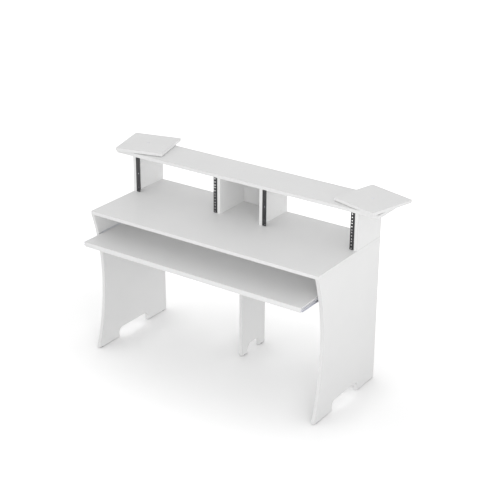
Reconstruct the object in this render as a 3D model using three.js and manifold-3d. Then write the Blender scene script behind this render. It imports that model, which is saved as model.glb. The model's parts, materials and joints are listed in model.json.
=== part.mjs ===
// Studio desk in white laminated board: two side panels with a curved front, a centre support, a desktop,
// a housing with two rack bays and an open compartment, a long top shelf, two swivelling speaker platforms
// and a keyboard tray on ball-bearing slides.
// Millimetres, +Z up, +X to the player's right, +Y to the back. The origin lies on the floor, in the middle
// of the space that the desk takes up with the tray drawn out to the place where it is played.

import * as THREE from 'three';
import { mergeVertices } from 'three/addons/utils/BufferGeometryUtils.js';
import Module from 'manifold-3d';

const wasm = await Module();
wasm.setup();

// Overall sizes of the desk
const deskWidth = 1280;
const deskDepth = 540;
const deskHeight = 743;
const housingDepth = 215;
const wingLength = 103;

// Boards
const boardThickness = 18;
const trayThickness = 25;
const platformThickness = 16;
const edgeRound = 0.8;
const boardCornerRadius = 3;

// Equipment rack standard: panel width, height unit, hole pitches and hole size
const rackPanelWidth = 482.6;
const rackUnitHeight = 44.45;
const rackUnitCount = 4;
const rackHoleInset = 8.75;
const rackHolePitch = 15.875;
const rackHoleRadius = 3.4;
const baySideClearance = 5.2;
const bayHeightClearance = 1.2;

// Rack rails: steel angles screwed to the sides of each bay
const railSheet = 2;
const railFlangeWidth = 21.5;
const railFlangeDepth = 30;
const railHoleShares = [0.14, 0.5, 0.86];

// Side panels
const frontCurveDepth = 60;
const footLength = 155;
const archHeight = 47;
const archRadius = 25;
const toeRadius = 4;

// Centre support
const supportDepth = 200;
const supportFootLength = 49;
const supportArchRadius = 30;

// Rear rails between the side panels and the centre support
const rearRailHeight = 260;

// Floor glides
const glideHeight = 3;
const glideRadius = 8;
const glideInset = 24;
const glidePinRadius = 2;
const glidePinLength = 12;

// Dowels: the long end stands in a board's edge, and the short end goes into the face of the next board
const dowelRadius = 4;
const dowelLongEnd = 22;
const dowelFaceShare = 0.42;
const panelDowelShares = [0.1, 0.5, 0.85];
const supportDowelShares = [0.25, 0.75];
const housingDowelShares = [0.2, 0.8];
const backDowelShares = [0.25, 0.75];

// Keyboard tray
const traySpace = 104;
const trayDepth = 280;
const trayClosedInset = 54;
const trayDrawnOut = 144;

// Ball-bearing slides: a fixed outer channel, a ball cage and an inner channel on the tray's edge
const slideLength = 250;
const slideHeight = 25;
const slideDepth = 12.7;
const slideTravel = 180;
const slideSetback = 1;
const slideSheet = 1.2;
const grooveDepth = 0.6;
const ballRadius = 2.38;
const ballsPerRace = 3;
const cageSheet = 0.5;
const cageLength = 60;
const cageEndMargin = 1;
const outerFlangeShare = 0.82;
const ballRowShare = 0.5;
const bumperLength = 7.5;
const bumperHeight = 12;
const bumperCornerRadius = 3;
const slideHoleShares = [0.1, 0.5, 0.9];

// Speaker platforms
const platformSize = 248;
const platformToeIn = 15;
const platformCornerRadius = 3;
const swivelDiscRadius = 60;
const swivelDiscThickness = 2;
const pivotRadius = 3;
const pivotHeadRadius = 7;
const pivotHeadHeight = 2.6;
const insertRadius = 5;
const insertLength = 13;

// Holes for the wood screws of the rails and slides
const screwHoleRadius = 2;
const sunkHoleRadius = 3.7;

// Fits and cuts
const clearance = 0.3;
const overrun = 2;

// Number of straight steps in round shapes
const frontCurveSteps = 24;
const cornerSteps = 4;
const archSteps = 6;
const grooveSteps = 4;
const boreSides = 8;
const windowSides = 12;
const discSides = 36;
const glideSides = 16;
const pivotSides = 16;
const ballSides = 8;
const ballRings = 6;

// Sizes and places that follow
const halfDesk = deskWidth / 2;
const panelInner = halfDesk - boardThickness;
const panelHeight = deskHeight - boardThickness - glideHeight;
const deskUnderside = deskHeight - boardThickness;
const panelMiddle = halfDesk - boardThickness / 2;
const dowelShortEnd = dowelFaceShare * boardThickness;
const bayWidth = rackPanelWidth + 2 * baySideClearance;
const bayHeight = rackUnitCount * rackUnitHeight + bayHeightClearance;
const bayInner = panelInner - bayWidth;
const compartmentHalf = bayInner - boardThickness;
const dividerMiddle = bayInner - boardThickness / 2;
const shelfBottom = deskHeight + bayHeight;
const shelfTop = shelfBottom + boardThickness;
const shelfHalf = halfDesk + wingLength;
const housingFront = -housingDepth;
const trayHalf = panelInner - slideDepth - clearance;
const trayTop = deskUnderside - traySpace;
const trayMiddle = trayTop - trayThickness / 2;
const trayClosedFront = -deskDepth + trayClosedInset;
const trayFront = trayClosedFront - trayDrawnOut;
const slideFront = trayClosedFront + slideSetback;
const innerSlideLength = slideLength - bumperLength - clearance;
const innerSlideFront = trayFront + slideSetback;
const cageFront = slideFront + cageEndMargin + (slideTravel - trayDrawnOut) / 2;
const pivotX = halfDesk;
const pivotY = housingFront + platformSize / 2;
const platformBottom = shelfTop + swivelDiscThickness + clearance;

const X = new THREE.Vector3(1, 0, 0);
const Y = new THREE.Vector3(0, 1, 0);
const Z = new THREE.Vector3(0, 0, 1);
const down = Z.clone().negate();

// Axes that stand an outline up: drawn in Y and Z and thickened along X, or drawn in X and Z and thickened
// towards the front.
const acrossX = new THREE.Matrix4().makeBasis(Y, Z, X);
const acrossY = new THREE.Matrix4().makeBasis(X, Z, Y.clone().negate());

// Materials

function material(color, roughness, metalness = 0) {
  return new THREE.MeshStandardMaterial({ color, roughness, metalness, flatShading: true });
}

const laminate = material(0xf1f1ef, 0.5);
const beech = material(0xd8bb8c, 0.7);
const zincSteel = material(0xc3c8d2, 0.35, 1);
const blackSteel = material(0x1d1e20, 0.5, 0.6);
const ballSteel = material(0xdadde2, 0.15, 1);
const darkPlastic = material(0x2b2c2e, 0.6);
const palePlastic = material(0xdcdcd8, 0.55);

// Solids

// A geometry reduced to shared corners and faces, which is what joining and cutting need.
function plain(geometry) {
  const copy = geometry.clone();
  copy.deleteAttribute('normal');
  copy.deleteAttribute('uv');
  copy.clearGroups();
  return mergeVertices(copy);
}

function toSolid(geometry) {
  const bare = plain(geometry);
  return new wasm.Manifold(new wasm.Mesh({
    numProp: 3,
    vertProperties: new Float32Array(bare.attributes.position.array),
    triVerts: new Uint32Array(bare.index.array),
  }));
}

function toGeometry(solid) {
  const mesh = solid.getMesh();
  const geometry = new THREE.BufferGeometry();
  geometry.setAttribute('position', new THREE.BufferAttribute(new Float32Array(mesh.vertProperties), 3));
  geometry.setIndex(new THREE.BufferAttribute(new Uint32Array(mesh.triVerts), 1));
  return geometry;
}

function cut(geometry, tools) {
  return toGeometry(tools.reduce((solid, tool) => solid.subtract(toSolid(tool)), toSolid(geometry)));
}

function join(geometry, pieces) {
  return toGeometry(pieces.reduce((solid, piece) => solid.add(toSolid(piece)), toSolid(geometry)));
}

function part(name, geometry, finish, position = [0, 0, 0]) {
  const mesh = new THREE.Mesh(geometry.index ? geometry : plain(geometry), finish);
  mesh.name = name;
  mesh.position.set(...position);
  return mesh;
}

// Outlines

// A closed outline from corners [x, y, radius], each rounded by an arc, or sharp where no radius is given.
function roundedOutline(corners, steps) {
  return corners.flatMap(([x, y, radius = 0], index) => {
    const corner = new THREE.Vector2(x, y);
    if (radius === 0) return [corner];
    const before = new THREE.Vector2(...corners.at(index - 1)).sub(corner).normalize();
    const after = new THREE.Vector2(...corners[(index + 1) % corners.length]).sub(corner).normalize();
    const halfAngle = Math.acos(before.dot(after)) / 2;
    const middle = before.clone().add(after).setLength(radius / Math.sin(halfAngle)).add(corner);
    const start = before.setLength(radius / Math.tan(halfAngle)).add(corner).sub(middle);
    const end = after.setLength(radius / Math.tan(halfAngle)).add(corner).sub(middle);
    const turn = Math.atan2(start.cross(end), start.dot(end));
    return Array.from({ length: steps + 1 }, (_, step) => (
      start.clone().rotateAround(new THREE.Vector2(), turn * step / steps).add(middle)
    ));
  });
}

function rectangle(left, right, front, back, radius) {
  return roundedOutline([
    [left, front, radius], [right, front, radius], [right, back, radius], [left, back, radius],
  ], cornerSteps);
}

// A board cut to an outline, with its long edges slightly broken as an edge band leaves them.
function board(outline, thickness) {
  return new THREE.ExtrudeGeometry(new THREE.Shape(outline), {
    depth: thickness - 2 * edgeRound,
    bevelThickness: edgeRound,
    bevelSize: edgeRound,
    bevelOffset: -edgeRound,
    bevelSegments: 1,
  }).translate(0, 0, edgeRound);
}

function prism(outline, length) {
  return new THREE.ExtrudeGeometry(new THREE.Shape(outline), { depth: length, bevelEnabled: false });
}

// A round bar along Z from one height to another.
function bar(radius, from, to, sides = boreSides) {
  return new THREE.CylinderGeometry(radius, radius, to - from, sides)
    .rotateX(Math.PI / 2)
    .translate(0, 0, (from + to) / 2);
}

function cone(lowRadius, highRadius, from, to, sides = boreSides) {
  return new THREE.CylinderGeometry(highRadius, lowRadius, to - from, sides)
    .rotateX(Math.PI / 2)
    .translate(0, 0, (from + to) / 2);
}

// A turned piece from [radius, height] pairs that start and end on the axis, standing along Z.
function turned(profile, sides = boreSides) {
  return new THREE.LatheGeometry(profile.map(([radius, height]) => new THREE.Vector2(radius, height)), sides)
    .rotateX(Math.PI / 2);
}

const sides = [['left', -1], ['right', 1]];

// Places along a length, given as shares of it.
function spread(shares, start, length) {
  return shares.map((share) => start + share * length);
}

// Dowels. A joint is the place where a dowel's long end meets its short end, with the way that the short end
// points.

function dowel() {
  return bar(dowelRadius, -dowelLongEnd, dowelShortEnd);
}

function dowelHole() {
  return bar(dowelRadius + clearance, -dowelLongEnd - clearance, dowelShortEnd + clearance);
}

// Copies of something drawn along Z, one set into each joint.
function inJoints(geometry, joints) {
  return joints.map(({ x, y, z, into }) => (
    geometry.clone().applyQuaternion(new THREE.Quaternion().setFromUnitVectors(Z, into)).translate(x, y, z)
  ));
}

function panelJoints(side) {
  return spread(panelDowelShares, -deskDepth, deskDepth)
    .map((y) => ({ x: side * panelMiddle, y, z: deskUnderside, into: Z }));
}

function supportJoints() {
  return spread(supportDowelShares, -supportDepth, supportDepth)
    .map((y) => ({ x: 0, y, z: deskUnderside, into: Z }));
}

// The joints under a board of the housing and over it.
function housingJoints(x) {
  return spread(housingDowelShares, housingFront, housingDepth).flatMap((y) => [
    { x, y, z: deskHeight, into: down },
    { x, y, z: shelfBottom, into: Z },
  ]);
}

// The joints at one end of a board that stands along the back of the desk.
function endJoints(end, side, bottom, height) {
  const into = X.clone().multiplyScalar(side);
  return spread(backDowelShares, bottom, height).map((z) => ({ x: end, y: -boardThickness / 2, z, into }));
}

function railJoints(side) {
  const bottom = deskUnderside - rearRailHeight;
  return {
    atPanel: endJoints(side * panelInner, side, bottom, rearRailHeight),
    atSupport: endJoints(side * boardThickness / 2, -side, bottom, rearRailHeight),
  };
}

function compartmentJoints(side) {
  return endJoints(side * compartmentHalf, side, deskHeight, bayHeight);
}

// The dowels between the legs and the desktop are loose; the other joints' dowels are glued into one board.
function legDowels() {
  const loose = [
    ...sides.map(([name, side]) => [name, ['front', 'middle', 'back'], panelJoints(side)]),
    ['centre', ['front', 'back'], supportJoints()],
  ];
  return loose.flatMap(([leg, places, joints]) => (
    inJoints(dowel(), joints).map((pin, index) => part(`dowel_${leg}_${places[index]}`, pin, beech))
  ));
}

// Floor glides, each with a pin that is driven into the foot above it

function glidePlaces(x, depth) {
  return [['front', -depth + glideInset], ['back', -glideInset]].map(([place, y]) => ({ place, x, y }));
}

function glidePinHoles(x, depth) {
  const top = glideHeight + glidePinLength + clearance;
  const hole = bar(glidePinRadius + clearance, glideHeight - overrun, top);
  return glidePlaces(x, depth).map(({ y }) => hole.clone().translate(x, y, 0));
}

function floorGlides() {
  const top = glideHeight + glidePinLength;
  const glide = turned([
    [0, 0], [glideRadius - edgeRound, 0], [glideRadius, edgeRound], [glideRadius, glideHeight],
    [glidePinRadius, glideHeight], [glidePinRadius, top], [0, top],
  ], glideSides);
  const legs = [
    ...sides.map(([name, side]) => [name, side * panelMiddle, deskDepth]),
    ['centre', 0, supportDepth],
  ];
  return legs.flatMap(([leg, legX, depth]) => glidePlaces(legX, depth).map(({ place, x, y }) => (
    part(`floor_glide_${leg}_${place}`, glide, darkPlastic, [x, y, 0])
  )));
}

// Boards

// A leg's outline in Y and Z: two feet with an arch between them, and a front edge of its own.
function legOutline(depth, foot, radius, frontEdge) {
  const top = deskUnderside;
  const bottom = glideHeight;
  const arch = glideHeight + archHeight;
  const feet = roundedOutline([
    [-depth, bottom, toeRadius], [-depth + foot, bottom], [-depth + foot, arch, radius],
    [-foot, arch, radius], [-foot, bottom], [0, bottom, toeRadius], [0, top], [-depth, top],
  ], archSteps);
  return [...feet, ...frontEdge];
}

// The front edge of a side panel bows in evenly between the desktop and the toe.
function frontCurve() {
  const rise = panelHeight / 2;
  const radius = (rise ** 2 + frontCurveDepth ** 2) / (2 * frontCurveDepth);
  const reach = Math.asin(rise / radius);
  const centreY = -deskDepth + frontCurveDepth - radius;
  const centreZ = glideHeight + rise;
  return Array.from({ length: frontCurveSteps - 1 }, (_, step) => {
    const angle = reach * (1 - 2 * (step + 1) / frontCurveSteps);
    return new THREE.Vector2(centreY + radius * Math.cos(angle), centreZ + radius * Math.sin(angle));
  }).filter((point) => point.y > glideHeight + toeRadius);
}

// A board whose outline stands in Y and Z, with its thickness centred on x.
function standingBoard(outline, x) {
  return board(outline, boardThickness).applyMatrix4(acrossX).translate(x - boardThickness / 2, 0, 0);
}

// A board across the back of the desk, with its outer face on the desk's back plane.
function backBoard(left, right, bottom, top) {
  return board(rectangle(left, right, bottom, top), boardThickness).applyMatrix4(acrossY);
}

function sidePanel(name, side) {
  const outline = legOutline(deskDepth, footLength, archRadius, frontCurve());
  const holes = [
    ...inJoints(dowelHole(), [...panelJoints(side), ...railJoints(side).atPanel]),
    ...glidePinHoles(side * panelMiddle, deskDepth),
  ];
  return part(name, cut(standingBoard(outline, side * panelMiddle), holes), laminate);
}

function centreSupport() {
  const outline = legOutline(supportDepth, supportFootLength, supportArchRadius, []);
  const railEnds = sides.flatMap(([, side]) => railJoints(side).atSupport);
  const holes = [
    ...inJoints(dowelHole(), [...supportJoints(), ...railEnds]),
    ...glidePinHoles(0, supportDepth),
  ];
  return part('centre_support', cut(standingBoard(outline, 0), holes), laminate);
}

function desktop() {
  const outline = rectangle(-halfDesk, halfDesk, -deskDepth, 0, boardCornerRadius);
  const joints = sides.flatMap(([, side]) => [
    ...panelJoints(side), ...housingJoints(side * panelMiddle), ...housingJoints(side * dividerMiddle),
  ]);
  const top = board(outline, boardThickness).translate(0, 0, deskUnderside);
  return part('desktop', cut(top, inJoints(dowelHole(), [...joints, ...supportJoints()])), laminate);
}

function rearRail(name, side) {
  const ends = [side * boardThickness / 2, side * panelInner];
  const bottom = deskUnderside - rearRailHeight;
  const rail = backBoard(Math.min(...ends), Math.max(...ends), bottom, deskUnderside);
  const { atPanel, atSupport } = railJoints(side);
  return part(name, join(rail, inJoints(dowel(), [...atPanel, ...atSupport])), laminate);
}

function housingWall(name, side) {
  const x = side * panelMiddle;
  const outline = rectangle(housingFront, 0, deskHeight, shelfBottom);
  return part(name, join(standingBoard(outline, x), inJoints(dowel(), housingJoints(x))), laminate);
}

function housingDivider(name, side) {
  const x = side * dividerMiddle;
  const outline = rectangle(housingFront, 0, deskHeight, shelfBottom);
  const divider = cut(standingBoard(outline, x), inJoints(dowelHole(), compartmentJoints(side)));
  return part(name, join(divider, inJoints(dowel(), housingJoints(x))), laminate);
}

function compartmentBack() {
  const back = backBoard(-compartmentHalf, compartmentHalf, deskHeight, shelfBottom);
  const joints = sides.flatMap(([, side]) => compartmentJoints(side));
  return part('compartment_back', join(back, inJoints(dowel(), joints)), laminate);
}

function topShelf() {
  const outline = rectangle(-shelfHalf, shelfHalf, housingFront, 0, boardCornerRadius);
  const shelf = board(outline, boardThickness).translate(0, 0, shelfBottom);
  const seats = sides.map(([, side]) => (
    bar(insertRadius + clearance, shelfTop - insertLength - clearance, shelfTop + overrun, pivotSides)
      .translate(side * pivotX, pivotY, 0)
  ));
  const joints = sides.flatMap(([, side]) => [
    ...housingJoints(side * panelMiddle), ...housingJoints(side * dividerMiddle),
  ]);
  return part('top_shelf', cut(shelf, [...seats, ...inJoints(dowelHole(), joints)]), laminate);
}

// Rack rails

// Heights in the rail's own measure, where zero is the top of the desktop.
function railScrewHeights() {
  return spread(railHoleShares, 0, bayHeight);
}

// Hole heights repeat in each rack unit: one in its middle and one a pitch above and below it.
function railHoleHeights() {
  const bottom = bayHeightClearance / 2;
  return Array.from({ length: rackUnitCount }, (_, unit) => (
    [-1, 0, 1].map((row) => bottom + (unit + 1 / 2) * rackUnitHeight + row * rackHolePitch)
  )).flat();
}

// An angle whose front flange takes the equipment's screws. Its side is 1 where the wall is to its right.
function rackRail(name, side, wallX) {
  const edge = wallX - side * railFlangeWidth;
  const outline = [
    [wallX, 0], [wallX, railFlangeDepth], [wallX - side * railSheet, railFlangeDepth],
    [wallX - side * railSheet, railSheet], [edge, railSheet], [edge, 0],
  ].map(([x, y]) => new THREE.Vector2(x, housingFront + y));
  const angle = prism(outline, rackUnitCount * rackUnitHeight).translate(0, 0, bayHeightClearance / 2);
  const holeX = wallX - side * (baySideClearance + rackHoleInset);
  const rackHoles = railHoleHeights().map((z) => (
    bar(rackHoleRadius, -overrun, railSheet + overrun)
      .rotateX(-Math.PI / 2)
      .translate(holeX, housingFront, z)
  ));
  const screwHoles = railScrewHeights().map((z) => (
    bar(screwHoleRadius, -overrun, railSheet + overrun)
      .rotateY(-side * Math.PI / 2)
      .translate(wallX, housingFront + railFlangeDepth / 2, z)
  ));
  return part(name, cut(angle, [...rackHoles, ...screwHoles]), blackSteel, [0, 0, deskHeight]);
}

function rackRails() {
  return sides.flatMap(([name, side]) => [
    rackRail(`rack_rail_${name}_outer`, side, side * panelInner),
    rackRail(`rack_rail_${name}_inner`, -side, side * bayInner),
  ]);
}

// Slides. Their sections are drawn with x as the distance from the side panel and y as the height from the
// middle of the tray's edge; side mirrors them.

// The outline of bent sheet: a centre line thickened by half the sheet to each side.
function sheetOutline(centreLine, sheet) {
  const offset = (sign) => centreLine.map((point, index) => {
    const before = centreLine[Math.max(index - 1, 0)];
    const after = centreLine[Math.min(index + 1, centreLine.length - 1)];
    const into = point.clone().sub(before).normalize();
    const out = after.clone().sub(point).normalize();
    const along = into.add(out).normalize();
    const nearby = (index === 0 ? after : before).clone().sub(point).normalize();
    const half = sheet / 2 / Math.cos(Math.asin(nearby.cross(along)));
    return new THREE.Vector2(-along.y, along.x).multiplyScalar(sign * half).add(point);
  });
  return [...offset(1), ...offset(-1).reverse()];
}

// Distances that the rolling balls set, measured on the sheets' centre lines.
const grooveRadius = ballRadius + clearance + slideSheet / 2;
const outerFlangeHeight = slideHeight / 2 - slideSheet / 2 - grooveDepth;
const ballHeight = outerFlangeHeight + grooveDepth - grooveRadius;
const innerFlangeHeight = ballHeight - grooveRadius + grooveDepth;
const grooveHalfWidth = Math.sqrt(grooveRadius ** 2 - (grooveRadius - grooveDepth) ** 2);
const ballRow = ballRowShare * slideDepth;

// Half a groove's arc round the balls: sign 1 bulges away from the middle and -1 towards it.
function grooveArc(sign) {
  const reach = Math.asin(grooveHalfWidth / grooveRadius);
  return Array.from({ length: grooveSteps + 1 }, (_, step) => {
    const angle = reach * (2 * step / grooveSteps - 1);
    return new THREE.Vector2(
      ballRow + grooveRadius * Math.sin(angle),
      ballHeight + sign * grooveRadius * Math.cos(angle),
    );
  });
}

function mirroredHalf(upper) {
  const lower = upper.map((point) => new THREE.Vector2(point.x, -point.y)).reverse();
  return [...upper, ...lower];
}

function outerLine() {
  const web = slideSheet / 2;
  const tip = outerFlangeShare * slideDepth;
  return mirroredHalf([
    new THREE.Vector2(tip, outerFlangeHeight),
    ...grooveArc(1).reverse(),
    new THREE.Vector2(web, outerFlangeHeight),
  ]);
}

function innerLine() {
  const web = slideDepth - slideSheet / 2;
  const tip = slideSheet + clearance + cageSheet + 2 * clearance;
  return mirroredHalf([
    new THREE.Vector2(tip, innerFlangeHeight),
    ...grooveArc(-1),
    new THREE.Vector2(web, innerFlangeHeight),
  ]);
}

function cageLine() {
  const web = slideSheet + clearance + cageSheet / 2;
  const tip = ballRow + grooveHalfWidth + ballRadius / 2;
  return mirroredHalf([new THREE.Vector2(tip, ballHeight), new THREE.Vector2(web, ballHeight)]);
}

// Runs a section along the slide on one side of the desk, from its front end backwards.
function slideRun(centreLine, sheet, side, front, length) {
  const outline = sheetOutline(centreLine, sheet).map((point) => (
    new THREE.Vector2(side * (panelInner - point.x), trayMiddle + point.y)
  ));
  return prism(outline, length).applyMatrix4(acrossY).translate(0, front + length, 0);
}

// Places something drawn along Z against the side panel's inner face, Z pointing to the middle of the desk.
function onPanel(geometry, side, distance, y) {
  return geometry.rotateY(-side * Math.PI / 2).translate(side * (panelInner - distance), y, trayMiddle);
}

function outerSlide(name, side) {
  const channel = slideRun(outerLine(), slideSheet, side, slideFront, slideLength);
  const holes = spread(slideHoleShares, slideFront, slideLength).map((y) => (
    onPanel(cone(screwHoleRadius, sunkHoleRadius, -clearance, slideSheet + clearance), side, 0, y)
  ));
  return part(name, cut(channel, holes), zincSteel);
}

function innerSlide(name, side) {
  const channel = slideRun(innerLine(), slideSheet, side, innerSlideFront, innerSlideLength);
  const holes = spread(slideHoleShares, innerSlideFront, innerSlideLength).map((y) => (
    onPanel(bar(screwHoleRadius, -overrun, slideSheet + overrun), side, slideDepth - slideSheet, y)
  ));
  return part(name, cut(channel, holes), zincSteel);
}

function ballPlaces() {
  const pitch = cageLength / ballsPerRace;
  return Array.from({ length: ballsPerRace }, (_, ball) => cageFront + (ball + 1 / 2) * pitch);
}

function ballCage(name, side) {
  const channel = slideRun(cageLine(), cageSheet, side, cageFront, cageLength);
  const x = side * (panelInner - ballRow);
  const reach = ballHeight + overrun;
  const windows = ballPlaces().map((y) => (
    bar(ballRadius + clearance, -reach, reach, windowSides).translate(x, y, trayMiddle)
  ));
  return part(name, cut(channel, windows), zincSteel);
}

function slideBalls(name, side) {
  const x = side * (panelInner - ballRow);
  return [['upper', 1], ['lower', -1]].flatMap(([race, sign]) => (
    ballPlaces().map((y, index) => {
      const ball = new THREE.SphereGeometry(ballRadius, ballSides, ballRings);
      const place = [x, y, trayMiddle + sign * ballHeight];
      return part(`slide_ball_${name}_${race}_${index + 1}`, ball, ballSteel, place);
    })
  ));
}

function slideBumper(name, side) {
  const back = slideFront + slideLength;
  const inside = side * (panelInner - slideSheet);
  const reach = side * (panelInner - slideDepth + slideSheet);
  const outline = rectangle(Math.min(inside, reach), Math.max(inside, reach),
    trayMiddle - bumperHeight / 2, trayMiddle + bumperHeight / 2, bumperCornerRadius);
  const bumper = prism(outline, bumperLength).applyMatrix4(acrossY).translate(0, back, 0);
  return part(name, bumper, darkPlastic);
}

// Keyboard tray

function keyboardTray() {
  const outline = rectangle(-trayHalf, trayHalf, trayFront, trayFront + trayDepth, boardCornerRadius);
  const tray = board(outline, trayThickness).translate(0, 0, trayTop - trayThickness);
  return part('keyboard_tray', tray, laminate);
}

// Speaker platforms. Each turns about its pivot screw, and stands toed in.

function speakerPlatform(name, side) {
  const half = platformSize / 2;
  const plate = board(rectangle(-half, half, -half, half, platformCornerRadius), platformThickness);
  const headSeat = platformThickness - pivotHeadHeight - clearance;
  const geometry = cut(plate, [
    bar(pivotRadius + clearance, -overrun, platformThickness + overrun, pivotSides),
    bar(pivotHeadRadius + clearance, headSeat, platformThickness + overrun, pivotSides),
  ]);
  const mesh = part(name, geometry, laminate, [side * pivotX, pivotY, platformBottom]);
  mesh.rotation.z = THREE.MathUtils.degToRad(-side * platformToeIn);
  return mesh;
}

function swivelDisc(name, side) {
  const disc = bar(swivelDiscRadius, 0, swivelDiscThickness, discSides);
  const hole = bar(pivotRadius + clearance, -overrun, swivelDiscThickness + overrun, pivotSides);
  return part(name, cut(disc, [hole]), palePlastic, [side * pivotX, pivotY, shelfTop]);
}

function pivotInsert(name, side) {
  const sleeve = bar(insertRadius, -insertLength, 0, pivotSides);
  const bore = bar(pivotRadius + clearance, -insertLength + edgeRound, overrun, pivotSides);
  return part(name, cut(sleeve, [bore]), zincSteel, [side * pivotX, pivotY, shelfTop]);
}

function pivotScrew(name, side) {
  const top = platformBottom - shelfTop + platformThickness - clearance;
  const headBottom = top - pivotHeadHeight + clearance;
  const end = -insertLength + edgeRound + clearance;
  const screw = turned([
    [0, end], [pivotRadius, end], [pivotRadius, headBottom], [pivotHeadRadius, headBottom],
    [pivotHeadRadius, top], [0, top],
  ], pivotSides);
  return part(name, screw, zincSteel, [side * pivotX, pivotY, shelfTop]);
}

// Assembly

function assemble() {
  const desk = new THREE.Group();
  sides.forEach(([name, side]) => {
    desk.add(
      sidePanel(`side_panel_${name}`, side),
      rearRail(`rear_rail_${name}`, side),
      housingWall(`housing_wall_${name}`, side),
      housingDivider(`housing_divider_${name}`, side),
      outerSlide(`slide_outer_${name}`, side),
      innerSlide(`slide_inner_${name}`, side),
      ballCage(`ball_cage_${name}`, side),
      ...slideBalls(name, side),
      slideBumper(`slide_bumper_${name}`, side),
      speakerPlatform(`speaker_platform_${name}`, side),
      swivelDisc(`swivel_disc_${name}`, side),
      pivotInsert(`pivot_insert_${name}`, side),
      pivotScrew(`pivot_screw_${name}`, side),
    );
  });
  desk.add(
    centreSupport(),
    compartmentBack(),
    topShelf(),
    desktop(),
    keyboardTray(),
    ...rackRails(),
    ...floorGlides(),
    ...legDowels(),
  );

  // The back edges of the boards are at Y zero up to here; the origin moves to the middle of the whole.
  const toeIn = THREE.MathUtils.degToRad(platformToeIn);
  const platformReach = (platformSize / 2 - platformCornerRadius) * (Math.cos(toeIn) + Math.sin(toeIn))
    + platformCornerRadius;
  desk.position.y = -(trayFront + pivotY + platformReach) / 2;
  return desk;
}

export default assemble();
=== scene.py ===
"""A white studio desk in laminated board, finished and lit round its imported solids.

Everything is in metres, +Z up, +X to the player's right and +Y to the back of the desk.
"""

import json
import math

import bmesh
import bpy
from mathutils import Matrix, Vector


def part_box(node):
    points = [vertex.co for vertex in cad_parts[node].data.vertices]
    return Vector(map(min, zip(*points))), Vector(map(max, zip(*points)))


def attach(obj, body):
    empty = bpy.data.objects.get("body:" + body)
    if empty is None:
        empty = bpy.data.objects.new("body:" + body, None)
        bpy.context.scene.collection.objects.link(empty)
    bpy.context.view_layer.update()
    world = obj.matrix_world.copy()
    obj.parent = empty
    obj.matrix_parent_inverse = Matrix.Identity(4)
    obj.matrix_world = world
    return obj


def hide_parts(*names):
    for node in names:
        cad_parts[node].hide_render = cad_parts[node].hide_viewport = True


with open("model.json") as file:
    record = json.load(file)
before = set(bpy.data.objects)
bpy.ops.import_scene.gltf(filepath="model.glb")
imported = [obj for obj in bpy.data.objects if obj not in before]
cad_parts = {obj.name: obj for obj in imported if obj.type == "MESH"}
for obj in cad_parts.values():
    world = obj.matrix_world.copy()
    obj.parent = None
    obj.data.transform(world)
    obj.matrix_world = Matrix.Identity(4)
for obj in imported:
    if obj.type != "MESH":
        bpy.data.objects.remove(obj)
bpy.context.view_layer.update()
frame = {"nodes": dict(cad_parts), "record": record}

MM = 0.001
SIDES = {"left": -1, "right": 1}
X, Y, Z = Vector((1, 0, 0)), Vector((0, 1, 0)), Vector((0, 0, 1))


# Shader helpers

# The places of the colours among the mix node's inputs and outputs, several of which share a name
MIX_LOW, MIX_HIGH, MIX_RESULT = 6, 7, 2


class Tree:
    """Adds nodes to one node tree, and links or sets their inputs."""

    def __init__(self, tree):
        self.tree = tree

    def node(self, kind, **settings):
        made = self.tree.nodes.new(kind)
        for key, value in settings.items():
            setattr(made, key, value)
        return made

    def put(self, socket, value):
        """Links the socket to another one, or sets its number, vector or colour."""
        if isinstance(value, bpy.types.NodeSocket):
            self.tree.links.new(value, socket)
        elif isinstance(value, tuple) and socket.type == "RGBA":
            socket.default_value = (*value, 1)
        else:
            socket.default_value = value

    def fill(self, node, **inputs):
        """Puts a value in each named input; the names are written with underscores for spaces."""
        for key, value in inputs.items():
            self.put(node.inputs[key.replace("_", " ")], value)
        return node

    def pair(self, node, first, second):
        """Puts values in the first two inputs of a node whose inputs share a name."""
        self.put(node.inputs[0], first)
        self.put(node.inputs[1], second)
        return node

    def math(self, operation, first, second):
        return self.pair(self.node("ShaderNodeMath", operation=operation), first, second).outputs[0]

    def vector(self, operation, first, second=(0, 0, 0)):
        made = self.pair(self.node("ShaderNodeVectorMath", operation=operation), first, second)
        gives_number = operation in ("LENGTH", "DOT_PRODUCT")
        return made.outputs["Value" if gives_number else "Vector"]

    def spread(self, value, low=0.0, high=1.0, from_low=0.3, from_high=0.7, interpolation="LINEAR"):
        """Maps a range, here a noise's middle range unless told otherwise, onto low to high."""
        made = self.node("ShaderNodeMapRange", interpolation_type=interpolation)
        self.fill(made, Value=value, From_Min=from_low, From_Max=from_high, To_Min=low, To_Max=high)
        return made.outputs["Result"]

    def mix(self, amount, low, high):
        """Mixes two colours, each a socket or an RGB triple."""
        made = self.fill(self.node("ShaderNodeMix", data_type="RGBA"), Factor=amount)
        self.put(made.inputs[MIX_LOW], low)
        self.put(made.inputs[MIX_HIGH], high)
        return made.outputs[MIX_RESULT]

    def stretched(self, place, scale):
        """Coordinates multiplied axis by axis."""
        return self.fill(self.node("ShaderNodeMapping"), Vector=place, Scale=scale).outputs["Vector"]

    def diffuse(self, colour):
        return self.fill(self.node("ShaderNodeBsdfDiffuse"), Color=colour).outputs[0]

    def add(self, first, second):
        """Adds two shaders."""
        return self.pair(self.node("ShaderNodeAddShader"), first, second).outputs[0]

    def seen_directly(self):
        """1 for what the camera sees, straight, in a gloss or through something clear, and 0 otherwise."""
        path = self.node("ShaderNodeLightPath")
        seen = path.outputs["Is Camera Ray"]
        for ray in ("Is Glossy Ray", "Is Transmission Ray"):
            seen = self.math("MAXIMUM", seen, path.outputs[ray])
        return seen


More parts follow.
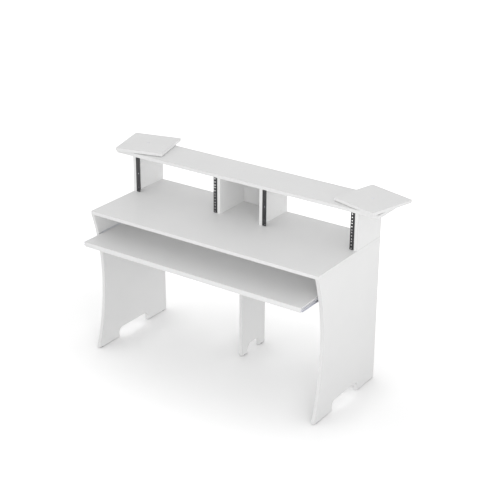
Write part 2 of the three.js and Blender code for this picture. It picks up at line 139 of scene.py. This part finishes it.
class Finish(Tree):
    """One material: its surface shader, with textures that lie in the object's own coordinates."""

    def __init__(self, name):
        self.material = bpy.data.materials.new(name)
        self.material.use_nodes = True
        super().__init__(self.material.node_tree)
        self.shader = self.tree.nodes["Principled BSDF"]
        coordinates = self.node("ShaderNodeTexCoord")
        self.place = coordinates.outputs["Object"]
        self.normal = coordinates.outputs["Normal"]

    def noise(self, scale, detail=2.0, roughness=0.5, place=None):
        made = self.node("ShaderNodeTexNoise")
        self.fill(made, Scale=scale, Detail=detail, Roughness=roughness, Vector=place or self.place)
        return made.outputs["Fac"]

    def bump(self, height, distance, strength, below=None):
        """The normal of a relief, which may lie on another one."""
        made = self.fill(self.node("ShaderNodeBump"), Strength=strength, Distance=distance, Height=height)
        if below is not None:
            self.put(made.inputs["Normal"], below)
        return made.outputs["Normal"]

    def done(self, **inputs):
        """Fills the shader's inputs and gives back the material."""
        self.fill(self.shader, **inputs)
        return self.material


# Materials: each pair of colours is the darker and the lighter end of an uneven surface

LAMINATE_COLOURS = (0.815, 0.815, 0.815), (0.845, 0.845, 0.842)
EDGE_BAND_COLOURS = (0.8, 0.8, 0.799), (0.822, 0.822, 0.819)
# The bevels' colour: a glue line, with painted shade for the shadow in the grooves between boards
GLUE_LINE_AND_SHADE_COLOUR = (0.69, 0.686, 0.678)
ZINC_COLOURS = (0.76, 0.765, 0.81), (0.85, 0.855, 0.89)
POWDER_COAT_COLOURS = (0.018, 0.018, 0.02), (0.038, 0.038, 0.042)
BEARING_STEEL_COLOURS = (0.68, 0.69, 0.71), (0.8, 0.81, 0.82)
DARK_PLASTIC_COLOURS = (0.022, 0.022, 0.024), (0.04, 0.04, 0.043)
PALE_PLASTIC_COLOURS = (0.66, 0.66, 0.64), (0.74, 0.74, 0.72)
WHITE_PLASTIC_COLOURS = (0.8, 0.8, 0.795), (0.85, 0.85, 0.845)
BEECH_COLOURS = (0.58, 0.4, 0.22), (0.7, 0.52, 0.31)
BEECH_FLECK_COLOUR = (0.42, 0.26, 0.13)

# The share of a board's normal along its thickness: the edge band has less than the first, a face more
# than the second, and the bevel lies between
BAND_LIMIT = 0.35
FACE_LIMIT = 0.9
# The share of the normal towards the open side: a bevel with less than this lies in a joint, and the others
# get the glue line with painted shade
JOINT_LIMIT = -0.3

# The press grain is part cloud and part speck, and the edge band is smoother than the faces
CLOUD_SHARE = 0.55
SPECK_SHARE = 0.45
BAND_SMOOTHER = 0.12

# The scales of the rolling lines, which run along Y on the sheet parts and along Z on the fasteners
SHEET_LINES = (900.0, 14.0, 900.0)
FASTENER_LINES = (900.0, 900.0, 14.0)
# The scales of the wood's grain and of its rays, which run along Z in the dowels
BEECH_GRAIN = (420.0, 420.0, 30.0)
BEECH_RAYS = (1500.0, 1500.0, 260.0)


def laminate(name, thickness_axis, open_side):
    """White melamine face with a fine pebbled press grain, and a smoother band round the board's edges.

    The narrow bevel between face and band shows the glue line, darkened further with painted shade for the
    groove's shadow.
    The bevels that face a tight joint stay light: open_side is 1 on boards that lie on others, and -1 on
    boards that stand under them.
    """
    n = Finish(name)
    normal = n.fill(n.node("ShaderNodeSeparateXYZ"), Vector=n.normal)
    towards_face = n.math("ABSOLUTE", normal.outputs[thickness_axis], 0)
    on_edge = n.math("LESS_THAN", towards_face, BAND_LIMIT)
    bevel = n.math("SUBTRACT", n.math("LESS_THAN", towards_face, FACE_LIMIT), on_edge)
    outward = n.math("MULTIPLY", normal.outputs["Z"], open_side)
    # Painted shade, with the glue line, on the bevels that don't face a tight joint
    glue_and_shade_bevel = n.math("MULTIPLY", bevel, n.math("GREATER_THAN", outward, JOINT_LIMIT))
    cloud = n.spread(n.noise(scale=5.5, detail=3.0))
    speck = n.spread(n.noise(scale=1400, detail=1.0), from_low=0.35, from_high=0.65)
    grain = n.math("ADD", n.math("MULTIPLY", cloud, CLOUD_SHARE), n.math("MULTIPLY", speck, SPECK_SHARE))
    face = n.mix(grain, *LAMINATE_COLOURS)
    band = n.mix(n.spread(n.noise(scale=38)), *EDGE_BAND_COLOURS)
    colour = n.mix(glue_and_shade_bevel, n.mix(on_edge, face, band), GLUE_LINE_AND_SHADE_COLOUR)
    pebbles = n.noise(scale=620, roughness=0.55)
    ripple = n.noise(scale=95, detail=1.0)
    pebbled = n.bump(pebbles, distance=0.09 * MM, strength=0.55)
    relief = n.bump(ripple, distance=0.04 * MM, strength=0.5, below=pebbled)
    face_roughness = n.spread(pebbles, low=0.44, high=0.56)
    roughness = n.math("SUBTRACT", face_roughness, n.math("MULTIPLY", on_edge, BAND_SMOOTHER))
    return n.done(Base_Color=colour, Roughness=roughness, Normal=relief, Specular_IOR_Level=0.42)


def zinc(name, lines_scale):
    """Bright zinc plate on rolled sheet: bluish, with faint rolling lines and a cloudy passivation."""
    n = Finish(name)
    lines = n.noise(scale=1.0, detail=3.0, roughness=0.6, place=n.stretched(n.place, lines_scale))
    cloud = n.noise(scale=60, detail=3.0)
    return n.done(Base_Color=n.mix(n.spread(cloud), *ZINC_COLOURS), Metallic=0.8,
                  Roughness=n.spread(lines, low=0.32, high=0.46),
                  Normal=n.bump(lines, distance=0.02 * MM, strength=0.6))


def powder_coat(name):
    """Black powder coat with its orange-peel skin, rubbed a little paler where it is high."""
    n = Finish(name)
    peel = n.noise(scale=780)
    return n.done(Base_Color=n.mix(n.spread(peel), *POWDER_COAT_COLOURS),
                  Roughness=n.spread(peel, low=0.38, high=0.52),
                  Normal=n.bump(peel, distance=0.12 * MM, strength=0.7), Specular_IOR_Level=0.5)


def bearing_steel(name):
    """Polished steel with the fine haze of use."""
    n = Finish(name)
    haze = n.noise(scale=1500)
    return n.done(Base_Color=n.mix(n.spread(haze), *BEARING_STEEL_COLOURS), Metallic=1.0,
                  Roughness=n.spread(haze, low=0.1, high=0.2))


def moulded(name, colours, smoothest, roughest):
    """Moulded plastic with a spark-eroded grain and slightly uneven colour."""
    n = Finish(name)
    skin = n.noise(scale=900, roughness=0.6)
    cloud = n.noise(scale=45)
    return n.done(Base_Color=n.mix(n.spread(cloud), *colours),
                  Roughness=n.spread(skin, low=smoothest, high=roughest),
                  Normal=n.bump(skin, distance=0.05 * MM, strength=0.6), Specular_IOR_Level=0.5)


def beech(name):
    """Turned beech: a warm pale wood with grain along the dowel and the short dark flecks of its rays."""
    n = Finish(name)
    grain = n.noise(scale=1.0, detail=4.0, roughness=0.6, place=n.stretched(n.place, BEECH_GRAIN))
    rays = n.noise(scale=1.0, detail=1.0, place=n.stretched(n.place, BEECH_RAYS))
    flecks = n.spread(rays, from_low=0.6, from_high=0.72)
    wood = n.mix(n.spread(grain), *BEECH_COLOURS)
    return n.done(Base_Color=n.mix(flecks, wood, BEECH_FLECK_COLOUR),
                  Roughness=n.spread(grain, low=0.6, high=0.75),
                  Normal=n.bump(grain, distance=0.06 * MM, strength=0.6))


# The boards by the axis of their thickness. Those that lie flat are open above, and the upright ones below.
BOARD_AXES = {
    "X": ("side_panel", "centre_support", "housing_wall", "housing_divider"),
    "Y": ("rear_rail", "compartment_back"),
    "Z": ("desktop", "top_shelf", "keyboard_tray", "speaker_platform"),
}
OPEN_SIDES = {"X": -1, "Y": -1, "Z": 1}


def make_materials():
    boards = {
        f"laminate_{axis}": laminate(f"laminate_{axis.lower()}", axis, side)
        for axis, side in OPEN_SIDES.items()
    }
    return {
        **boards,
        "zinc_steel": zinc("zinc_sheet", SHEET_LINES),
        "fastener": zinc("zinc_fastener", FASTENER_LINES),
        "rail_steel": powder_coat("black_powder_coat"),
        "dowel_wood": beech("beech"),
        "ball_steel": bearing_steel("bearing_steel"),
        "dark_plastic": moulded("dark_plastic", DARK_PLASTIC_COLOURS, smoothest=0.46, roughest=0.6),
        "pale_plastic": moulded("pale_plastic", PALE_PLASTIC_COLOURS, smoothest=0.36, roughest=0.48),
        "white_plastic": moulded("white_plastic", WHITE_PLASTIC_COLOURS, smoothest=0.34, roughest=0.44),
    }


def finish_solids(materials):
    """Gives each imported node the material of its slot; boards get the one turned to their thickness."""
    slots = {row["node"]: row["material_slot"] for row in frame["record"]["subparts"]}
    for name, obj in frame["nodes"].items():
        key = slots[name]
        for axis, starts in BOARD_AXES.items():
            if name.startswith(starts):
                key = f"laminate_{axis}"
        for material_slot in obj.material_slots:
            material_slot.material = materials[key]


# Meshes

SHARP_ANGLE = math.radians(38)


def mesh_object(name, mesh, material):
    """Makes an object of the mesh, which is used up by it."""
    mesh.normal_update()
    data = bpy.data.meshes.new(name)
    mesh.to_mesh(data)
    mesh.free()
    obj = bpy.data.objects.new(name, data)
    bpy.context.scene.collection.objects.link(obj)
    data.materials.append(material)
    return obj


def add_piece(name, mesh, material, body):
    """Makes a smooth piece of the desk that moves with a body."""
    piece = mesh_object(name, mesh, material)
    piece.data.shade_smooth()
    piece.data.set_sharp_from_angle(angle=SHARP_ANGLE)
    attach(piece, body)
    return piece


def facing(direction):
    """A turn that brings +Z to a level direction and +Y up."""
    across = Z.cross(direction)
    return Matrix((across, direction.cross(across), direction)).transposed().to_4x4()


def along(low, high, share):
    """The place that lies a share of the way from low to high."""
    return low + share * (high - low)


def ring(mesh, place, steps, radius_at, height):
    """Adds points round the axis, at a height and at a radius that may change with the angle."""
    return [
        mesh.verts.new(place @ Vector((radius_at(a) * math.cos(a), radius_at(a) * math.sin(a), height)))
        for a in (2 * math.pi * k / steps for k in range(steps))
    ]


def lathe(mesh, profile, place, steps):
    """Adds a closed turned shape: profile is (radius, height) pairs that start and end on the axis."""
    rings = [
        ring(mesh, place, steps if radius else 1, lambda a, r=radius: r, height)
        for radius, height in profile
    ]
    for low, high in zip(rings, rings[1:]):
        for k in range(steps):
            after = (k + 1) % steps
            corners = [low[k % len(low)], low[after % len(low)],
                       high[after % len(high)], high[k % len(high)]]
            mesh.faces.new(list(dict.fromkeys(corners)))


# Screw heads: recesses and crowns in shares of the head's own radius and height

HEAD_STEPS = 32
CROSS_ARM_SHARE = 0.36
RECESS_FLOOR_SHARE = 0.9
CROWN_DRAW_SHARE = 0.42
SEAT_GAP = 0.02 * MM


def recessed_head(mesh, place, recess, depth, outline, base):
    """Adds a screw head that stands on place: a rounded rim, and a recess of a given outline in its top.

    outline(angle) gives the recess's radius as a share of recess; base is the head's profile from its seat
    up to the rim of the top, as (radius, height) pairs. The underside is closed at the seat.
    """
    top = base[-1][1]
    levels = [(lambda a, r=radius: r, height) for radius, height in base]
    levels.append((lambda a: recess * outline(a), top))
    levels.append((lambda a: recess * outline(a) * RECESS_FLOOR_SHARE, top - depth))
    rings = [ring(mesh, place, HEAD_STEPS, radius_at, height) for radius_at, height in levels]
    for low, high in zip(rings, rings[1:]):
        for k in range(HEAD_STEPS):
            after = (k + 1) % HEAD_STEPS
            mesh.faces.new((low[k], low[after], high[after], high[k]))
    mesh.faces.new(list(reversed(rings[0])))
    floor = mesh.verts.new(place @ Vector((0, 0, top - depth)))
    for k in range(HEAD_STEPS):
        mesh.faces.new((rings[-1][k], rings[-1][(k + 1) % HEAD_STEPS], floor))


def cross_outline(angle):
    """A cross recess: four arms, with the corners between them drawn in."""
    from_arm = (angle + math.pi / 4) % (math.pi / 2) - math.pi / 4
    if abs(math.tan(from_arm)) <= CROSS_ARM_SHARE:
        return 1.0
    return min(CROSS_ARM_SHARE / abs(math.sin(from_arm)), 1.0)


def hexagon_outline(angle):
    """A hexagon socket, whose corners lie at the full radius."""
    from_flat = angle % (math.pi / 3) - math.pi / 6
    return math.cos(math.pi / 6) / math.cos(from_flat)


def dome(radius, rise, rim, steps):
    """A head's side and crown as (radius, height) pairs: straight up to rim, then an arc up to rise."""
    arc = [
        (radius * (1 - (1 - math.cos(a)) * CROWN_DRAW_SHARE), rim + (rise - rim) * math.sin(a))
        for a in (math.pi / 2 * k / steps for k in range(steps + 1))
    ]
    return [(radius, 0), *arc]


PAN_HEAD_RADIUS = 3.6 * MM
PAN_HEAD_HEIGHT = 1.9 * MM
PAN_RIM_SHARE = 0.35
PAN_RECESS_SHARE = 0.56
PAN_RECESS_DEPTH_SHARE = 0.6
PAN_CROWN_STEPS = 4


def pan_head(mesh, point, direction):
    """A pan-head wood screw's head, standing on point."""
    place = Matrix.Translation(point + direction * SEAT_GAP) @ facing(direction)
    crown = dome(PAN_HEAD_RADIUS, PAN_HEAD_HEIGHT, PAN_HEAD_HEIGHT * PAN_RIM_SHARE, PAN_CROWN_STEPS)
    recessed_head(mesh, place, PAN_HEAD_RADIUS * PAN_RECESS_SHARE,
                  PAN_HEAD_HEIGHT * PAN_RECESS_DEPTH_SHARE, cross_outline, crown)


SUNK_HEAD_RADIUS = 3.2 * MM
SUNK_HEAD_PROUD = 0.1 * MM
SUNK_FOOT_SHARE = 0.55
SUNK_SHOULDER_SHARE = 0.86
SUNK_TOP_SHARE = 0.93
SUNK_RECESS_SHARE = 0.58
SUNK_RECESS_DEPTH_SHARE = 0.7


def sunk_head(mesh, point, direction, sheet):
    """A countersunk head: a cone from the board, at point, to just above a sheet of a given thickness."""
    top = sheet + SUNK_HEAD_PROUD
    base = [(SUNK_HEAD_RADIUS * SUNK_FOOT_SHARE, SEAT_GAP),
            (SUNK_HEAD_RADIUS, top * SUNK_SHOULDER_SHARE),
            (SUNK_HEAD_RADIUS * SUNK_TOP_SHARE, top)]
    recessed_head(mesh, Matrix.Translation(point) @ facing(direction), SUNK_HEAD_RADIUS * SUNK_RECESS_SHARE,
                  top * SUNK_RECESS_DEPTH_SHARE, cross_outline, base)


# Caps over the cam fittings

CAP_RADIUS = 8.5 * MM
CAP_HEIGHT = 1.1 * MM
CAP_STEPS = 40
CAP_PROFILE_SHARES = ((0, 0), (0.97, 0), (1, 0.25), (0.985, 0.6), (0.94, 0.86), (0.84, 1), (0.8, 0.93),
                      (0.72, 0.9), (0.4, 0.96), (0, 1))

# How far the fittings lie from a joint, and their places along it
CAM_REACH = 34 * MM
PANEL_CAP_SHARES = (0.2, 0.8)
HOUSING_CAP_SHARES = (0.3, 0.75)
SUPPORT_CAP_SHARES = (0.2, 0.7)
RAIL_CAP_SHARES = (0.2, 0.8)


def cover_cap(mesh, point, direction):
    """A press-in cap over a cam fitting: a thin domed disc with a rolled rim."""
    place = Matrix.Translation(point + direction * SEAT_GAP) @ facing(direction)
    profile = [(CAP_RADIUS * across, CAP_HEIGHT * up) for across, up in CAP_PROFILE_SHARES]
    lathe(mesh, profile, place, CAP_STEPS)


def joint_caps(mesh, node, direction, shares, at_foot=False):
    """Caps along an upright's upper joint, or along its lower one."""
    low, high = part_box(node)
    x = high.x if direction.x > 0 else low.x
    z = low.z + CAM_REACH if at_foot else high.z - CAM_REACH
    for share in shares:
        cover_cap(mesh, Vector((x, along(low.y, high.y, share), z)), direction)


def cam_caps(materials):
    """Caps over the cam fittings that pull the uprights and the rear rails to the boards they meet."""
    mesh = bmesh.new()
    for side, sign in SIDES.items():
        inward = X * -sign
        joint_caps(mesh, f"side_panel_{side}", inward, PANEL_CAP_SHARES)
        for node, direction in ((f"housing_wall_{side}", inward), (f"housing_divider_{side}", -inward)):
            joint_caps(mesh, node, direction, HOUSING_CAP_SHARES, at_foot=True)
            joint_caps(mesh, node, direction, HOUSING_CAP_SHARES)
        low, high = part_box(f"rear_rail_{side}")
        for x in (low.x + CAM_REACH, high.x - CAM_REACH):
            for share in RAIL_CAP_SHARES:
                cover_cap(mesh, Vector((x, low.y, along(low.z, high.z, share))), -Y)
    joint_caps(mesh, "centre_support", -X, SUPPORT_CAP_SHARES)
    add_piece("cam_cover_caps", mesh, materials["white_plastic"], "desk")


# Screws, bolts and balls

SLIDE_HOLE_SHARES = (0.1, 0.5, 0.9)
SLIDE_SHEET = 1.2 * MM
RAIL_HOLE_SHARES = (0.14, 0.5, 0.86)
RAIL_SHEET = 2.0 * MM
BOLT_HEAD_HEIGHT = 2.3 * MM
BOLT_SHANK_RADIUS = 3.0 * MM
BOLT_TIP_HEIGHT = 0.6 * MM
BOLT_TIP_SHARE = 0.8
BOLT_RIM_SHARE = 0.4
BOLT_SOCKET_SHARE = 0.42
BOLT_SOCKET_DEPTH_SHARE = 0.75
BOLT_CROWN_STEPS = 5
BALL_SUBDIVISIONS = 3


def slide_screws(materials):
    """Countersunk screws in the outer channels, and pan heads in the channels on the tray."""
    fixed, moving = bmesh.new(), bmesh.new()
    for side, sign in SIDES.items():
        inward = X * -sign
        low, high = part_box(f"slide_outer_{side}")
        panel_x = high.x if sign > 0 else low.x
        for share in SLIDE_HOLE_SHARES:
            point = Vector((panel_x, along(low.y, high.y, share), (low.z + high.z) / 2))
            sunk_head(fixed, point, inward, SLIDE_SHEET)
        low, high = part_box(f"slide_inner_{side}")
        web_x = low.x + SLIDE_SHEET if sign > 0 else high.x - SLIDE_SHEET
        for share in SLIDE_HOLE_SHARES:
            point = Vector((web_x, along(low.y, high.y, share), (low.z + high.z) / 2))
            pan_head(moving, point, -inward)
    add_piece("slide_screws_fixed", fixed, materials["fastener"], "desk")
    add_piece("slide_screws_tray", moving, materials["fastener"], "tray")


def rail_screws(materials):
    """Pan heads along the flange of each rack rail that lies against its board."""
    mesh = bmesh.new()
    for side, sign in SIDES.items():
        bay_low, bay_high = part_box(f"housing_wall_{side}")
        for place, direction in (("outer", X * -sign), ("inner", X * sign)):
            low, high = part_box(f"rack_rail_{side}_{place}")
            x = high.x - RAIL_SHEET if direction.x < 0 else low.x + RAIL_SHEET
            for share in RAIL_HOLE_SHARES:
                point = Vector((x, (low.y + high.y) / 2, along(bay_low.z, bay_high.z, share)))
                pan_head(mesh, point, direction)
    add_piece("rail_screws", mesh, materials["fastener"], "desk")


def pivot_bolts(materials):
    """Turned socket-head bolts in the platforms' counterbores, in place of the plain pins."""
    for side in SIDES:
        low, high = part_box(f"pivot_screw_{side}")
        centre = (low + high) / 2
        radius = (high.x - low.x) / 2
        seat = high.z - BOLT_HEAD_HEIGHT
        mesh = bmesh.new()
        shank = [(0, low.z), (BOLT_SHANK_RADIUS * BOLT_TIP_SHARE, low.z),
                 (BOLT_SHANK_RADIUS, low.z + BOLT_TIP_HEIGHT), (BOLT_SHANK_RADIUS, seat), (0, seat)]
        lathe(mesh, shank, Matrix.Translation((centre.x, centre.y, 0)), HEAD_STEPS)
        crown = dome(radius, BOLT_HEAD_HEIGHT, BOLT_HEAD_HEIGHT * BOLT_RIM_SHARE, BOLT_CROWN_STEPS)
        recessed_head(mesh, Matrix.Translation((centre.x, centre.y, seat)), radius * BOLT_SOCKET_SHARE,
                      BOLT_HEAD_HEIGHT * BOLT_SOCKET_DEPTH_SHARE, hexagon_outline, crown)
        bolt = add_piece(f"pivot_bolt_{side}", mesh, materials["fastener"], "desk")
        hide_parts(f"pivot_screw_{side}")


def bearing_balls(materials):
    """Smooth balls for both races of each cage."""
    for side in SIDES:
        names = [name for name in frame["nodes"] if name.startswith(f"slide_ball_{side}_")]
        mesh = bmesh.new()
        for name in names:
            low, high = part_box(name)
            bmesh.ops.create_icosphere(mesh, subdivisions=BALL_SUBDIVISIONS, radius=(high.z - low.z) / 2,
                                       matrix=Matrix.Translation((low + high) / 2))
        cage = f"ball_cage_{side}"
        balls = add_piece(f"bearing_balls_{side}", mesh, materials["ball_steel"], cage)
        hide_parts(*names)


# Floor: painted shade close to what stands on it, white away from the desk, and painted light in the
# panels' arches

FLOOR_HALF = 30.0
FLOOR_CORNERS = ((-1, -1), (1, -1), (1, 1), (-1, 1))
# The extra makes the floor brighter than plain white, and the contact colour paints shade round the feet
FLOOR_COLOUR = (0.97, 0.97, 0.97)
FLOOR_EXTRA_COLOUR = (0.172, 0.172, 0.172)
CONTACT_SHADE_COLOUR = (0.53, 0.53, 0.53)
CONTACT_REACH = 0.2
# The glow grows from the desk's middle to its full strength, which it reaches later along X
GLOW = 0.446
GLOW_STRETCH = (0.3, 1, 1)
GLOW_START, GLOW_END = 0.04, 1.49
# The painted patch of light in the right panel's arch, with the same in the left one; it fades from start
# to end
ARCH_MIDDLE = (0.63, 0.03, 0)
ARCH_HALF_WIDTH, ARCH_HALF_DEPTH = 0.08, 0.15
ARCH_START, ARCH_END = 0.2, 1.25
ARCH_GLOW = 0.045

# The share of the light that the floor throws back: less beside the desk than under it or far away, a
# painted shade that darkens the panels towards their feet
DESK_HALF = (0.64, 0.27, 0)
BOUNCE_UNDER = 0.85
BOUNCE_BESIDE, BOUNCE_FAR = 0.6, 0.82
BOUNCE_REACH = 0.9


def floor_shown(n, place, folded):
    """The floor as it is seen, with the desk's shadow; folded is the place without its signs."""
    away = n.spread(n.vector("LENGTH", n.stretched(place, GLOW_STRETCH)), high=GLOW,
                    from_low=GLOW_START, from_high=GLOW_END, interpolation="SMOOTHSTEP")
    arch_scale = (1 / ARCH_HALF_WIDTH, 1 / ARCH_HALF_DEPTH, 0)
    from_arch = n.vector("MULTIPLY", n.vector("SUBTRACT", folded, ARCH_MIDDLE), arch_scale)
    # Painted light in the arches: a faint glow, and less of the painted contact shade
    arch = n.spread(n.vector("LENGTH", from_arch), low=1, high=0,
                    from_low=ARCH_START, from_high=ARCH_END, interpolation="SMOOTHSTEP")
    strength = n.math("ADD", away, n.math("MULTIPLY", arch, ARCH_GLOW))
    glow = n.fill(n.node("ShaderNodeEmission"), Strength=strength).outputs[0]
    # Painted shade: ambient occlusion darkens the floor's colour round what stands on it
    contact_shade = n.fill(n.node("ShaderNodeAmbientOcclusion"), Distance=CONTACT_REACH)
    openness = n.math("MAXIMUM", contact_shade.outputs["AO"], arch)
    shaded = n.diffuse(n.mix(openness, CONTACT_SHADE_COLOUR, FLOOR_COLOUR))
    return n.add(n.add(shaded, n.diffuse(FLOOR_EXTRA_COLOUR)), glow)


def floor_bounce(n, folded):
    """The floor as it lights other things, with painted shade beside the desk."""
    aside = n.vector("LENGTH", n.vector("MAXIMUM", n.vector("SUBTRACT", folded, DESK_HALF)))
    beside = n.spread(aside, low=BOUNCE_BESIDE, high=BOUNCE_FAR, from_low=0, from_high=BOUNCE_REACH)
    under = n.math("MULTIPLY", n.math("LESS_THAN", aside, MM), BOUNCE_UNDER)
    return n.diffuse(n.math("MAXIMUM", beside, under))


def floor_material():
    material = bpy.data.materials.new("floor_white")
    material.use_nodes = True
    material.node_tree.nodes.clear()
    n = Tree(material.node_tree)
    place = n.node("ShaderNodeTexCoord").outputs["Object"]
    folded = n.vector("ABSOLUTE", place)
    choice = n.fill(n.node("ShaderNodeMixShader"), Fac=n.seen_directly())
    n.put(choice.inputs[1], floor_bounce(n, folded))
    n.put(choice.inputs[2], floor_shown(n, place, folded))
    n.fill(n.node("ShaderNodeOutputMaterial"), Surface=choice.outputs[0])
    return material


def lit_floor():
    mesh = bmesh.new()
    mesh.faces.new([mesh.verts.new((x * FLOOR_HALF, y * FLOOR_HALF, 0)) for x, y in FLOOR_CORNERS])
    mesh_object("floor", mesh, floor_material())


# Light: the surround's strength at the horizon, how it leans with direction, and one large softbox

HORIZON_LIGHT = 1.285
LIGHT_LEAN = (-0.158, 0.071, -0.722)
BACKDROP_WHITE = 1.0
KEY_PLACE = Vector((4.3, -4.4, 2.0))
KEY_TARGET = Vector((0, 0, 0.6))
KEY_SIZE = 3.4
KEY_POWER = 91


def world_light():
    """Soft light from all round, strongest near the horizon, as from tall softboxes round the desk.

    The camera and the reflections see a plain white backdrop.
    """
    world = bpy.data.worlds.new("studio")
    bpy.context.scene.world = world
    world.use_nodes = True
    n = Tree(world.node_tree)
    direction = n.node("ShaderNodeTexCoord").outputs["Generated"]
    soft = n.math("ADD", n.vector("DOT_PRODUCT", direction, LIGHT_LEAN), HORIZON_LIGHT)
    strength = n.spread(n.seen_directly(), low=soft, high=BACKDROP_WHITE, from_low=0, from_high=1)
    n.fill(world.node_tree.nodes["Background"], Color=(1, 1, 1), Strength=strength)


def key_light():
    """A large softbox in front at the player's right, which the camera and the reflections don't see."""
    data = bpy.data.lights.new("key", "AREA")
    data.shape = "DISK"
    data.size = KEY_SIZE
    data.energy = KEY_POWER
    lamp = bpy.data.objects.new("key", data)
    bpy.context.scene.collection.objects.link(lamp)
    lamp.location = KEY_PLACE
    lamp.rotation_mode = "QUATERNION"
    lamp.rotation_quaternion = (KEY_TARGET - KEY_PLACE).to_track_quat("-Z", "Y")
    lamp.visible_camera = False
    lamp.visible_glossy = False


# The photograph's viewpoint: a long lens, from the player's right and above

IMAGE_WIDTH = 500
FOCAL_PIXELS = 1286.5
SENSOR_WIDTH_MM = 36.0
CAMERA_PLACE = Vector((3.2004, -4.5294, 3.0862))
CAMERA_YAW = math.radians(34.31)
CAMERA_PITCH = math.radians(24.06)
CAMERA_ROLL = math.radians(0.45)
CAMERA_FAR = 60.0


def camera():
    data = bpy.data.cameras.new("camera")
    data.sensor_width = SENSOR_WIDTH_MM
    data.lens = FOCAL_PIXELS / IMAGE_WIDTH * SENSOR_WIDTH_MM
    data.clip_end = CAMERA_FAR
    obj = bpy.data.objects.new("camera", data)
    bpy.context.scene.collection.objects.link(obj)
    forward = Vector((-math.sin(CAMERA_YAW) * math.cos(CAMERA_PITCH),
                      math.cos(CAMERA_YAW) * math.cos(CAMERA_PITCH), -math.sin(CAMERA_PITCH)))
    level = Vector((math.cos(CAMERA_YAW), math.sin(CAMERA_YAW), 0))
    upright = level.cross(forward)
    right = math.cos(CAMERA_ROLL) * level + math.sin(CAMERA_ROLL) * upright
    up = math.cos(CAMERA_ROLL) * upright - math.sin(CAMERA_ROLL) * level
    turn = Matrix((right, up, -forward)).transposed().to_4x4()
    obj.matrix_world = Matrix.Translation(CAMERA_PLACE) @ turn
    bpy.context.scene.camera = obj


def main():
    materials = make_materials()
    finish_solids(materials)
    cam_caps(materials)
    slide_screws(materials)
    rail_screws(materials)
    pivot_bolts(materials)
    bearing_balls(materials)
    lit_floor()
    world_light()
    key_light()
    camera()
    bpy.context.scene.view_settings.view_transform = "Standard"


main()
